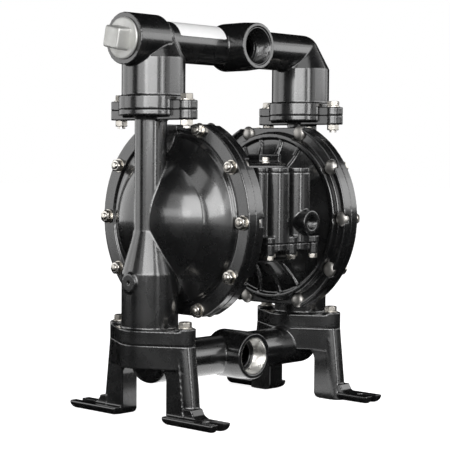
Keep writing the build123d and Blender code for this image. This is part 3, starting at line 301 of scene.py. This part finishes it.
def noise_node(tree, coords, scale, detail=3.0, rough=0.5):
    """Noise texture on object coordinates; scale is a socket or a number per metre."""
    node = tree.nodes.new("ShaderNodeTexNoise")
    node.inputs["Detail"].default_value = detail
    node.inputs["Roughness"].default_value = rough
    if isinstance(scale, (int, float)):
        node.inputs["Scale"].default_value = scale
    else:
        tree.links.new(scale, node.inputs["Scale"])
    tree.links.new(coords, node.inputs["Vector"])
    return node.outputs["Fac"]


def ramp_node(tree, value, low, high, out_low=0.0, out_high=1.0):
    """Value mapped from low..high to out_low..out_high, clamped."""
    node = tree.nodes.new("ShaderNodeMapRange")
    tree.links.new(value, node.inputs["Value"])
    for label, number in (("From Min", low), ("From Max", high), ("To Min", out_low), ("To Max", out_high)):
        if isinstance(number, (int, float)):
            node.inputs[label].default_value = number
        else:
            tree.links.new(number, node.inputs[label])
    return node.outputs["Result"]


def skin_group():
    """Surface of sprayed or cast metal: orange peel and fine grain as a height in metres, and a
    mottle from 0 to 1."""
    tree, given, out = new_group("surface_skin", [("Peel scale", 260.0), ("Grain scale", 1400.0),
                                                  ("Peel height", 0.00004), ("Grain height", 0.00001)],
                                 [("Height", "Float"), ("Mottle", "Float")])
    place = tree.nodes.new("ShaderNodeTexCoord").outputs["Object"]
    peel = noise_node(tree, place, given.outputs["Peel scale"], 2.0)
    grain = noise_node(tree, place, given.outputs["Grain scale"], 4.0, 0.65)
    height = math_node(tree, "ADD", math_node(tree, "MULTIPLY", peel, given.outputs["Peel height"]),
                       math_node(tree, "MULTIPLY", grain, given.outputs["Grain height"]))
    tree.links.new(height, out.inputs["Height"])
    blotch = noise_node(tree, place, 38.0, 5.0, 0.6)
    tree.links.new(ramp_node(tree, blotch, 0.35, 0.65), out.inputs["Mottle"])
    return tree


def edge_group():
    """Mask of convex edges, broken up by noise: 0 on faces, up to 1 on the sharpest edges; on the black
    paint the edge colour it brings in is a painted highlight.
    """
    tree, given, out = new_group("edge_mask", [("Start", 0.52), ("Full", 0.60)], [("Mask", "Float")])
    sharp = tree.nodes.new("ShaderNodeNewGeometry").outputs["Pointiness"]
    edge = ramp_node(tree, sharp, given.outputs["Start"], given.outputs["Full"])
    place = tree.nodes.new("ShaderNodeTexCoord").outputs["Object"]
    broken = ramp_node(tree, noise_node(tree, place, 300.0, 4.0), 0.38, 0.6, 0.25, 1.0)
    tree.links.new(math_node(tree, "MULTIPLY", edge, broken), out.inputs["Mask"])
    return tree


def dust_group():
    """Mask of faint dust on faces that look up, broken up by one fine noise."""
    tree, given, out = new_group("settled_dust", [("Amount", 0.3)], [("Mask", "Float")])
    normal = tree.nodes.new("ShaderNodeSeparateXYZ")
    tree.links.new(tree.nodes.new("ShaderNodeNewGeometry").outputs["Normal"], normal.inputs[0])
    up = ramp_node(tree, normal.outputs["Z"], 0.55, 1.0)
    place = tree.nodes.new("ShaderNodeTexCoord").outputs["Object"]
    fine = ramp_node(tree, noise_node(tree, place, 900.0, 5.0, 0.7), 0.45, 0.75)
    mask = math_node(tree, "MULTIPLY", math_node(tree, "MULTIPLY", up, fine), given.outputs["Amount"])
    tree.links.new(mask, out.inputs["Mask"])
    return tree


SKIN, EDGE, DUST = skin_group(), edge_group(), dust_group()


def use_group(tree, group, **values):
    """Group node with its inputs set by name, spaces written as underscores."""
    node = tree.nodes.new("ShaderNodeGroup")
    node.node_tree = group
    for label, value in values.items():
        node.inputs[label.replace("_", " ")].default_value = value
    return node


def mix_colour(tree, mask, first, second):
    """Colour mix of two colours (or a socket as the first) by a mask."""
    node = tree.nodes.new("ShaderNodeMix")
    node.data_type = "RGBA"
    for k, value in ((6, first), (7, second)):
        if isinstance(value, tuple):
            node.inputs[k].default_value = (*value, 1.0)
        else:
            tree.links.new(value, node.inputs[k])
    tree.links.new(mask, node.inputs[0])
    return node.outputs[2]


def surface(name, colour, other, rough, metallic=0.0, coat=0.0, coat_rough=0.1, edge=None, dust=0.0,
            bump=1.0, skin=None, ior=1.5):
    """Principled material: two close colours mixed by mottle, edge colour on convex edges, roughness
    between two values, and the skin's height as bump."""
    mat = bpy.data.materials.new(name)
    mat.use_nodes = True
    tree = mat.node_tree
    shader = tree.nodes["Principled BSDF"]
    skin_node = use_group(tree, SKIN, **(skin or {}))
    base = mix_colour(tree, skin_node.outputs["Mottle"], colour, other)
    if edge:
        mask = use_group(tree, EDGE)
        base = mix_colour(tree, mask.outputs["Mask"], base, edge)
    if dust:
        mask = use_group(tree, DUST, Amount=dust)
        base = mix_colour(tree, mask.outputs["Mask"], base, (0.42, 0.41, 0.39))
    tree.links.new(base, shader.inputs["Base Color"])
    roughness = ramp_node(tree, skin_node.outputs["Mottle"], 0.0, 1.0, rough[0], rough[1])
    tree.links.new(roughness, shader.inputs["Roughness"])
    shader.inputs["Metallic"].default_value = metallic
    shader.inputs["IOR"].default_value = ior
    shader.inputs["Coat Weight"].default_value = coat
    shader.inputs["Coat Roughness"].default_value = coat_rough
    lift = tree.nodes.new("ShaderNodeBump")
    lift.inputs["Strength"].default_value = bump
    lift.inputs["Distance"].default_value = 1.0
    tree.links.new(skin_node.outputs["Height"], lift.inputs["Height"])
    tree.links.new(lift.outputs["Normal"], shader.inputs["Normal"])
    return mat


# Gloss black paint; its lighter edge colour on convex edges is a painted highlight, not wear.
paint = surface("gloss_black_paint", (0.0045, 0.0046, 0.0048), (0.0070, 0.0071, 0.0073), (0.24, 0.30),
                edge=(0.02, 0.02, 0.021), dust=0.02, coat=1.0, coat_rough=0.12, ior=1.65,
                skin=dict(Peel_scale=150.0, Peel_height=0.000012, Grain_height=0.0000004))
stainless = surface("stainless_steel", (0.70, 0.67, 0.62), (0.58, 0.55, 0.50), (0.2, 0.34), metallic=1.0,
                    edge=(0.85, 0.83, 0.80), skin=dict(Peel_height=0.00001, Grain_height=0.000005))
satin_head = surface("satin_bolt_head", (0.56, 0.545, 0.52), (0.44, 0.425, 0.40), (0.34, 0.48),
                     metallic=1.0, skin=dict(Peel_scale=420.0, Peel_height=0.00002, Grain_height=0.000012))
plug_metal = surface("plated_plug", (0.60, 0.60, 0.585), (0.52, 0.52, 0.50), (0.38, 0.5), metallic=0.75,
                     edge=(0.72, 0.72, 0.70), skin=dict(Peel_scale=350.0, Peel_height=0.00004,
                                                        Grain_height=0.00003))
bare_thread = surface("cut_aluminium", (0.78, 0.77, 0.74), (0.66, 0.65, 0.62), (0.22, 0.36), metallic=1.0,
                      skin=dict(Peel_height=0.00001))
label_film = surface("blank_label", (0.81, 0.81, 0.81), (0.77, 0.77, 0.77), (0.3, 0.4), coat=0.3,
                     skin=dict(Peel_scale=90.0, Peel_height=0.00002))
rubber = surface("moulded_rubber", (0.018, 0.018, 0.018), (0.026, 0.026, 0.025), (0.6, 0.75))
ball_white = surface("check_ball", (0.80, 0.80, 0.77), (0.74, 0.74, 0.70), (0.25, 0.35))
ground_steel = surface("ground_steel", (0.62, 0.62, 0.63), (0.54, 0.54, 0.55), (0.18, 0.3), metallic=1.0)
moulded = surface("moulded_plastic", (0.10, 0.10, 0.11), (0.13, 0.13, 0.14), (0.4, 0.5))
muffler_black = surface("muffler_plastic", (0.02, 0.02, 0.021), (0.03, 0.03, 0.031), (0.5, 0.62),
                        skin=dict(Grain_height=0.00003))

slot_material = {"black_paint": paint, "stainless_fastener": stainless, "bare_aluminium": plug_metal,
                 "steel_rod": ground_steel, "steel_insert": ground_steel, "diaphragm_rubber": rubber,
                 "seal_rubber": rubber, "ball_plastic": ball_white, "bearing_plastic": moulded,
                 "muffler_plastic": muffler_black}
slot_of = {s["node"]: s["material_slot"] for s in frame["record"]["subparts"]}
for node_name, node in frame["nodes"].items():
    node.data.materials.clear()
    node.data.materials.append(slot_material[slot_of[node_name]])

# ---- castings ------------------------------------------------------------------------------------
for end in ("left", "right"):
    casting("fluid_cap_" + end, paint, 1.0, 4, 0.32)
    casting("air_cap_" + end, paint, 1.0, 3, 0.4)
casting("outlet_manifold", paint, 1.0, 5, 0.38)
casting("inlet_manifold", paint, 1.0, 5, 0.42)
casting("valve_housing", paint, 0.9, 4, 0.5)
casting("valve_top_cover", paint, 0.8, 3, 0.6)
casting("valve_bottom_cover", paint, 0.8, 3, 0.5)
casting("center_body", paint, 1.2, 3, 0.5)


# ---- diaphragms ----------------------------------------------------------------------------------
def diaphragm_sector(end, number, count=12):
    """One sector of a diaphragm, cut from a copy of its node by two planes through the rod axis. It has no
    body of its own."""
    middle, half = 2 * math.pi * number / count, math.pi / count
    data = frame["nodes"]["diaphragm_" + end].data.copy()
    tidy_mesh(data)
    bm = bmesh.new()
    bm.from_mesh(data)
    for angle, way in ((middle - half, -1.0), (middle + half, 1.0)):
        away = (0.0, -way * math.sin(angle), way * math.cos(angle))
        bmesh.ops.bisect_plane(bm, geom=bm.verts[:] + bm.edges[:] + bm.faces[:], dist=1e-7,
                               plane_co=(0.0, 0.0, ROD_Z * 0.001), plane_no=away, clear_outer=True)
        rim = [edge for edge in bm.edges if edge.is_boundary]
        bmesh.ops.triangle_fill(bm, edges=rim, use_beauty=True)
    bm.to_mesh(data)
    bm.free()
    tidy_mesh(data)
    obj = bpy.data.objects.new("diaphragm_%s_sector_%d" % (end, number + 1), data)
    bpy.context.scene.collection.objects.link(obj)
    finish_piece(obj, rubber, None, ("diaphragm_" + end,), 40.0)
    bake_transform(obj)


for end in ("left", "right"):
    for number in range(12):
        diaphragm_sector(end, number)

# ---- fasteners -----------------------------------------------------------------------------------
def around(angle, x, circle=BOLT_CIRCLE):
    """Point at an angle from horizontal round the rod axis."""
    t = math.radians(angle)
    return np.array((x, -circle * math.cos(t), ROD_Z + circle * math.sin(t)))


WASHER = soften([(5.0, 0), (9.2, 0), (9.2, 1.5), (5.0, 1.5), (5.0, 0)], 0.35)
DOME_HEAD = np.array([(0, 0), (9.4, 0)] + [(9.8 * math.cos(t) ** 0.75, 0.7 + 4.7 * math.sin(t))
                                         for t in np.linspace(0, math.pi / 2 - 0.02, 12)] + [(0, 5.4)])

for side, end in ((-1, "left"), (1, "right")):
    out = (side, 0, 0)
    nuts, studs, heads = [], [], []
    for k, angle in enumerate(BOLT_ANGLES):
        seat = around(angle, side * FLUID_FACE)
        nuts.append(turned(WASHER, seat, out, 48))
        nuts.append(hex_prism(seat + np.array(out) * 1.5, out, NUT_FLATS, 6.2, bore=4.75, turn=k * 37.0))
        studs.append(threaded_rod(seat + np.array(out) * 1.0, out, 4.7, 0.45, 8.0, 1.6))
        heads.append(turned(DOME_HEAD, around(angle, side * HEAD_SEAT), (-side, 0, 0), 48))
        shank = [(0, 0), (4.7, 0), (4.7, 18.9), (0, 18.9)]
        heads.append(turned(shank, around(angle, side * (HEAD_SEAT - 0.1)), out, 24))
    make_piece("cap_nuts_" + end + "_hex", join(*nuts), stainless, stands_for=("cap_nuts_" + end,))
    make_piece("cap_studs_" + end, join(*studs), stainless)
    make_piece("cap_bolt_heads_" + end, join(*heads), satin_head, stands_for=("cap_bolts_" + end,))

top_bolts, top_nuts, leg_bolts = [], [], []
for sx in (-1, 1):
    for sy in (-1, 1):
        x, y = sx * MANIFOLD_X, sy * EAR_Y
        top_bolts.append(hex_prism((x, y, OUTLET_SEAT_Z + 1.4), (0, 0, 1), NUT_FLATS, NUT_HEIGHT,
                                   turn=20.0 * sx))
        top_bolts.append(turned(WASHER, (x, y, OUTLET_SEAT_Z), (0, 0, 1), 48))
        top_bolts.append(turned([(0, 0), (4.7, 0), (4.7, 34.0), (0, 34.0)], (x, y, OUTLET_SHANK_Z),
                                (0, 0, 1), 24))
        top_nuts.append(hex_prism((x, y, OUTLET_NUT_Z), (0, 0, -1), NUT_FLATS, 7.7, bore=4.75, turn=9.0))
        leg_bolts.append(turned(WASHER, (x, y, LEG_SEAT_Z), (0, 0, 1), 48))
        leg_bolts.append(hex_prism((x, y, LEG_SEAT_Z + 1.4), (0, 0, 1), NUT_FLATS, NUT_HEIGHT,
                                   turn=35.0 * sy))
        leg_bolts.append(turned([(0, 0), (4.6, 0), (4.6, 30.0), (0, 30.0)], (x, y, LEG_SHANK_Z),
                                (0, 0, 1), 24))
make_piece("outlet_flange_hex_bolts", join(*top_bolts), stainless, stands_for=("outlet_flange_bolts",))
make_piece("outlet_flange_hex_nuts", join(*top_nuts), stainless, stands_for=("outlet_flange_nuts",))
make_piece("inlet_flange_hex_bolts", join(*leg_bolts), stainless, stands_for=("inlet_flange_bolts",))

cover_bolts = []
for x in COVER_BOLT_X:
    for y in COVER_BOLT_Y:
        cover_bolts.append(turned([(0, 0), (5.8, 0), (5.8, 0.9), (0, 0.9)], (x, y, 203.2), (0, 0, -1), 40))
        cover_bolts.append(hex_prism((x, y, 202.5), (0, 0, -1), 10.0, 5.0, turn=15.0 + x))
        cover_bolts.append(threaded_rod((x, y, 200.0), (0, 0, 1), 3.0, 0.3, 22.0, 1.0, 24))
make_piece("valve_cover_hex_bolts", join(*cover_bolts), stainless, stands_for=("cover_bolts",))
make_piece("center_body_bolt", join(
    turned([(0, 0), (7.4, 0), (7.4, 1.2), (0, 1.2)], (15.0, -46.0, 317.8), (0, 0, 1), 40),
    hex_prism((15.0, -46.0, 319.0), (0, 0, 1), 11.0, 6.0, turn=20.0)), stainless)

# ---- plug, threads and label ---------------------------------------------------------------------
plug_face = -(MANIFOLD_X + 50.0)
rim = soften([(0, 0), (25.6, 0), (25.6, 2.2), (24.0, 3.0), (15.0, 3.4), (0, 3.4)], 1.2)
square = soften([(0, 2.0), (14.6, 2.0), (13.6, 4.0), (13.2, 19.6), (11.6, 21.0), (0, 21.0)], 1.6)
body_turn = -12.0
make_piece("square_head_plug", join(
    turned(rim, (plug_face, 0, OUTLET_Z), (-1, 0, 0), 96),
    turned(square, (plug_face, 0, OUTLET_Z), (-1, 0, 0), 96, rounded_square, body_turn),
    threaded_rod((plug_face + 18.0, 0, OUTLET_Z), (-1, 0, 0), PORT_R - 0.1, 0.9, 18.0, 2.2, 96)),
    plug_metal, stands_for=("end_plug",))
make_piece("outlet_port_thread", threaded_tube((0, -47.0, OUTLET_Z), (0, 1, 0), PORT_R - 0.05,
                                               *PORT_THREAD, PORT_R + 0.6), paint)
make_piece("inlet_port_thread", threaded_tube((0, -44.6, INLET_Z), (0, 1, 0), PORT_R - 0.05,
                                              *PORT_THREAD, PORT_R + 0.6), bare_thread)
make_piece("air_inlet_thread", threaded_tube((20.0, -122.3, 243.5), (0, 1, 0), 9.2, 0.9, 13.0, 1.8,
                                             9.6, 64), paint)


def fluted(angle, count=28, depth=0.05):
    """Radius of a fluted drum: 1 - depth * (0.5 + 0.5 cos(count * angle)) ** 3."""
    return 1 - depth * (0.5 + 0.5 * np.cos(count * angle)) ** 3


drum = [(0, 0), (20.6, 0)]
for k in range(4):
    low = RIB_PITCH * k
    drum += [(20.8, low + 0.2), (20.8, low + 8.5), (18.6, low + 9.4), (18.6, low + 12.6)]
drum = soften(drum + [(18.6, 51.0), (15.5, 51.9), (0, 51.9)], 0.8, 3)
make_piece("ribbed_muffler", join(
    turned(drum, (0, MUFFLER_Y, ROD_Z), (0, 1, 0), 280, fluted),
    threaded_rod((0, MUFFLER_Y - 12.8, ROD_Z), (0, 1, 0), 12.9, 0.8, 13.0, 1.8, 64)), muffler_black,
    stands_for=("exhaust_muffler",))


def wrapped_label(x0, x1, angle0, angle1, radius, thick, corner):
    """Film wrapped on a pipe along X: rounded rectangles shrinking to the middle, whose first
    coordinate goes along the pipe and second round it at that radius, with a thin edge."""
    half = np.array(((x1 - x0) / 2, radius * math.radians(angle1 - angle0) / 2))
    t = np.arange(160) * 2 * math.pi / 160
    box = np.stack((np.cos(t), np.sin(t)), 1)
    box = box / np.max(np.abs(box), axis=1, keepdims=True) * half
    inner = np.clip(box, -(half - corner), half - corner)
    away = box - inner
    length = np.maximum(np.linalg.norm(away, axis=1, keepdims=True), 1e-9)
    outline = inner + away / length * np.minimum(length, corner)
    share = np.concatenate((np.linspace(0, 1, 24), [1.0, 1.0]))[:, None, None]
    flat = outline[None] * share
    height = radius + np.concatenate((np.full(24, thick), [0.0, -0.6]))[:, None]
    middle = math.radians((angle0 + angle1) / 2)
    turn = middle + flat[..., 1] / radius
    pts = np.stack(((x0 + x1) / 2 + flat[..., 0], -height * np.cos(turn),
                    OUTLET_Z + height * np.sin(turn)), axis=-1)
    return grid_mesh(pts)


make_piece("blank_label_film", wrapped_label(-116.0, -34.0, 16.0, 118.0, 25.0, 0.25, 2.0), label_film)

# ---- camera, floor and light ---------------------------------------------------------------------
AZ, EL, ROLL, AWAY = math.radians(-46.59), math.radians(2.69), math.radians(0.48), 1.86898
back = Vector((math.sin(AZ) * math.cos(EL), -math.cos(AZ) * math.cos(EL), math.sin(EL)))
target = Vector((math.cos(AZ) * -0.00627, math.sin(AZ) * -0.00627, 0.23606))
right = Vector((math.cos(AZ), math.sin(AZ), 0.0))
up = back.cross(right)
right2 = math.cos(ROLL) * right + math.sin(ROLL) * up
up2 = -math.sin(ROLL) * right + math.cos(ROLL) * up
cam = bpy.data.objects.new("camera", bpy.data.cameras.new("camera"))
cam.data.sensor_width, cam.data.lens = 36.0, 114.54
cam.data.clip_end = 100.0
place = target + back * AWAY
cam.matrix_world = Matrix.Translation(place) @ Matrix((right2, up2, back)).transposed().to_4x4()
bpy.context.scene.collection.objects.link(cam)
bpy.context.scene.camera = cam
bpy.context.scene.view_settings.view_transform = "Standard"


def background_share(tree):
    """1 for camera, glossy and transmission rays, 0 for the rest."""
    ray = tree.nodes.new("ShaderNodeLightPath").outputs
    seen = math_node(tree, "MAXIMUM", ray["Is Camera Ray"], ray["Is Glossy Ray"])
    return math_node(tree, "MAXIMUM", seen, ray["Is Transmission Ray"])


world = bpy.data.worlds.new("studio")
bpy.context.scene.world = world
world.use_nodes = True
background = world.node_tree.nodes["Background"]
background.inputs["Color"].default_value = (1.0, 1.0, 1.0, 1.0)
world.node_tree.links.new(ramp_node(world.node_tree, background_share(world.node_tree), 0, 1, 0.26, 1.0),
                          background.inputs["Strength"])

floor_mat = bpy.data.materials.new("studio_floor")
floor_mat.use_nodes = True
tree = floor_mat.node_tree
shader = tree.nodes["Principled BSDF"]
shader.inputs["Base Color"].default_value = (0.86, 0.86, 0.86, 1.0)
shader.inputs["Roughness"].default_value = 0.9
shader.inputs["Specular IOR Level"].default_value = 0.0
shader.inputs["Emission Color"].default_value = (1.0, 1.0, 1.0, 1.0)
tree.links.new(ramp_node(tree, background_share(tree), 0, 1, 0.0, 0.85), shader.inputs["Emission Strength"])
floor_data = bpy.data.meshes.new("studio_floor")
floor_data.from_pydata([(-12, -12, 0), (12, -12, 0), (12, 12, 0), (-12, 12, 0)], [], [(0, 1, 2, 3)])
floor_data.materials.append(floor_mat)
floor = bpy.data.objects.new("studio_floor", floor_data)
bpy.context.scene.collection.objects.link(floor)

flag_mat = bpy.data.materials.new("black_cloth")
flag_mat.use_nodes = True
flag_mat.node_tree.nodes["Principled BSDF"].inputs["Base Color"].default_value = (0.004, 0.004, 0.004, 1.0)
flag_mat.node_tree.nodes["Principled BSDF"].inputs["Roughness"].default_value = 1.0
flag_mat.node_tree.nodes["Principled BSDF"].inputs["Specular IOR Level"].default_value = 0.0


def direction(azimuth, elevation):
    """Unit vector towards an azimuth (0 is -Y, 90 is +X) and elevation, in degrees."""
    a, e = math.radians(azimuth), math.radians(elevation)
    return Vector((math.sin(a) * math.cos(e), -math.cos(a) * math.cos(e), math.sin(e)))


MIDDLE = Vector((0, 0, 0.25))


def facing_middle(azimuth, elevation, away):
    """Place at that distance from the middle of the pump, turned to face it."""
    d = direction(azimuth, elevation)
    return Matrix.Translation(MIDDLE + d * away) @ d.to_track_quat("Z", "Y").to_matrix().to_4x4()


def softbox(name, azimuth, elevation, away, width, height, radiance):
    """Rectangular light that faces the middle of the pump, given by its radiance."""
    light = bpy.data.lights.new(name, "AREA")
    light.shape, light.size, light.size_y = "RECTANGLE", width, height
    light.energy = radiance * width * height * math.pi
    obj = bpy.data.objects.new(name, light)
    obj.matrix_world = facing_middle(azimuth, elevation, away)
    bpy.context.scene.collection.objects.link(obj)


def flag(name, azimuth, elevation, away, width, height):
    """Black card that faces the middle of the pump and shows only in reflections."""
    data = bpy.data.meshes.new(name)
    w, h = width / 2, height / 2
    data.from_pydata([(-w, -h, 0), (w, -h, 0), (w, h, 0), (-w, h, 0)], [], [(0, 1, 2, 3)])
    data.materials.append(flag_mat)
    obj = bpy.data.objects.new(name, data)
    obj.matrix_world = facing_middle(azimuth, elevation, away)
    obj.visible_camera = obj.visible_shadow = obj.visible_diffuse = obj.visible_transmission = False
    bpy.context.scene.collection.objects.link(obj)


def black_ring(name, inner, outer):
    """Black cloth on the floor round the pump, a flat ring that shows only in reflections."""
    angle = np.arange(48) * 2 * math.pi / 48
    ring = np.stack((np.cos(angle), np.sin(angle), np.full(48, 0.0006)), 1)
    v, f = grid_mesh(np.stack((ring * (inner, inner, 1), ring * (outer, outer, 1))))
    data = bpy.data.meshes.new(name)
    data.from_pydata(v.tolist(), [], f.tolist())
    data.materials.append(flag_mat)
    obj = bpy.data.objects.new(name, data)
    obj.visible_camera = obj.visible_shadow = obj.visible_diffuse = obj.visible_transmission = False
    bpy.context.scene.collection.objects.link(obj)


softbox("key", -54.0, 17.0, 2.6, 2.1, 1.25, 5.2)
softbox("key_low", -84.0, 8.0, 2.8, 1.8, 0.40, 2.4)
softbox("edge_strip", -15.0, 17.0, 2.5, 0.42, 1.9, 6.0)
softbox("right_box", 40.0, 21.0, 2.6, 2.7, 1.6, 1.4)
softbox("back_left", -136.0, 8.0, 2.8, 1.3, 1.5, 0.7)
softbox("top", -42.0, 58.0, 2.3, 2.2, 1.1, 1.4)
flag("flag_low_right", 46.0, 0.0, 2.7, 3.0, 0.5)
flag("flag_gap", -15.0, 5.0, 3.2, 1.7, 3.0)
flag("flag_left", -110.0, 15.0, 3.2, 1.3, 2.4)
flag("flag_right_back", 128.0, 12.0, 3.2, 5.2, 2.6)
black_ring("table_cloth", 0.10, 4.0)
flag("ceiling", 0.0, 90.0, 2.6, 9.0, 9.0)
